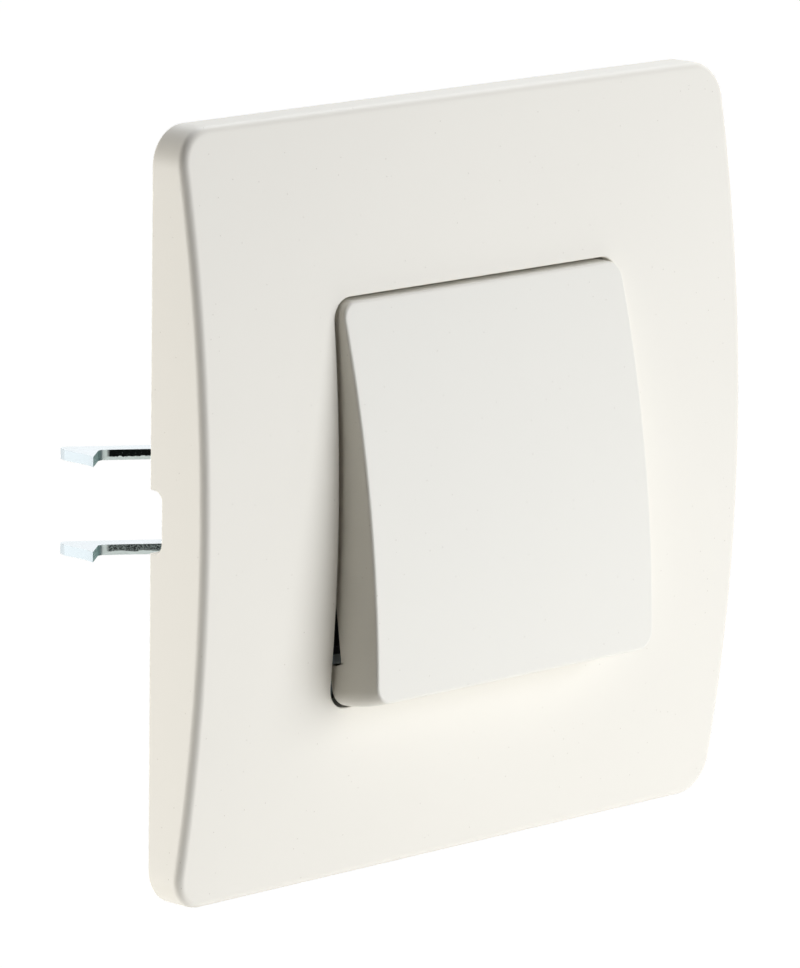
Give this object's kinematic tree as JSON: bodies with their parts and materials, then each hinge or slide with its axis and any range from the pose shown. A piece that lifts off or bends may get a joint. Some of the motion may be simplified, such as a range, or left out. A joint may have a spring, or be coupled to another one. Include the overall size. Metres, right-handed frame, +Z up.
{
  "type": "push button light switch",
  "caption": "Flush wall push button: bowed ivory cover plate, large sprung rocker button, contact mechanism and steel frame with spreading claws.",
  "frame": {"origin": "middle of the cover plate on the wall plane, between the two box screws", "axes": "+X right, +Z up, +Y from the room into the wall"},
  "size_m": [0.08, 0.0365, 0.08],
  "materials": {
    "ivory_moulding": "moulded, satin",
    "white_moulding": "moulded",
    "grey_moulding": "moulded",
    "zinc_plated_steel": "zinc plated",
    "spring_steel": "drawn wire",
    "brass_strip": "rolled",
    "silver_contact": "burnished"
  },
  "bodies": {
    "base": {"cover_plate": "ivory_moulding", "support_frame": "zinc_plated_steel", "mechanism_housing": "grey_moulding", "rear_cover": "grey_moulding", "bearing_plate": "grey_moulding", "terminal_left": "brass_strip", "terminal_right": "brass_strip", "fixed_contact_left": "silver_contact", "fixed_contact_right": "silver_contact", "clamp_spring_left": "spring_steel", "clamp_spring_right": "spring_steel", "claw_pin_left": "zinc_plated_steel", "claw_pin_right": "zinc_plated_steel", "return_spring": "spring_steel"},
    "rocker": {"button": "ivory_moulding", "rocker_yoke": "white_moulding", "rocker_axle": "spring_steel"},
    "plunger_group": {"plunger": "white_moulding", "contact_bridge": "brass_strip", "bridge_contact_left": "silver_contact", "bridge_contact_right": "silver_contact", "contact_spring": "spring_steel", "bridge_retainer": "spring_steel"},
    "left_claw_screw": {"claw_screw_left": "zinc_plated_steel"},
    "left_claw_nut": {"claw_nut_left": "zinc_plated_steel"},
    "left_claw": {"claw_left": "zinc_plated_steel"},
    "right_claw_screw": {"claw_screw_right": "zinc_plated_steel"},
    "right_claw_nut": {"claw_nut_right": "zinc_plated_steel"},
    "right_claw": {"claw_right": "zinc_plated_steel"}
  },
  "joints": [
    {"name": "button_rock", "type": "hinge", "parent": "base", "child": "rocker", "pos_m": [0, -0.0062, 0], "axis": [1, 0, 0], "range_deg": [0, 16], "stiffness_Nm_per_rad": 0.05, "springref_deg": -34.38},
    {"name": "plunger_slide", "type": "slide", "parent": "base", "child": "plunger_group", "axis": [0, 1, 0], "range_m": [0, 0.0031], "deforming": ["return_spring"]},
    {"name": "left_screw_turn", "type": "hinge", "parent": "base", "child": "left_claw_screw", "pos_m": [-0.027, 0, -0.0025], "axis": [0, 1, 0], "range_deg": [0, 396.1]},
    {"name": "left_nut_slide", "type": "slide", "parent": "base", "child": "left_claw_nut", "axis": [0, -1, 0], "range_m": [0, 0.000551]},
    {"name": "left_claw_swing", "type": "hinge", "parent": "base", "child": "left_claw", "pos_m": [-0.0219, 0.0044, -0.0025], "axis": [0, 0, 1], "range_deg": [0, 12]},
    {"name": "right_screw_turn", "type": "hinge", "parent": "base", "child": "right_claw_screw", "pos_m": [0.027, 0, -0.0025], "axis": [0, 1, 0], "range_deg": [0, 396.1]},
    {"name": "right_nut_slide", "type": "slide", "parent": "base", "child": "right_claw_nut", "axis": [0, -1, 0], "range_m": [0, 0.000551]},
    {"name": "right_claw_swing", "type": "hinge", "parent": "base", "child": "right_claw", "pos_m": [0.0219, 0.0044, -0.0025], "axis": [0, 0, -1], "range_deg": [0, 12]}
  ],
  "couplings": [
    {"joint": "plunger_slide", "follows": "button_rock", "m_per_rad": 0.0109},
    {"joint": "left_nut_slide", "follows": "left_claw_swing", "m_per_rad": 0.002626},
    {"joint": "left_screw_turn", "follows": "left_claw_swing", "ratio": 33},
    {"joint": "right_nut_slide", "follows": "right_claw_swing", "m_per_rad": 0.002626},
    {"joint": "right_screw_turn", "follows": "right_claw_swing", "ratio": 33}
  ]
}
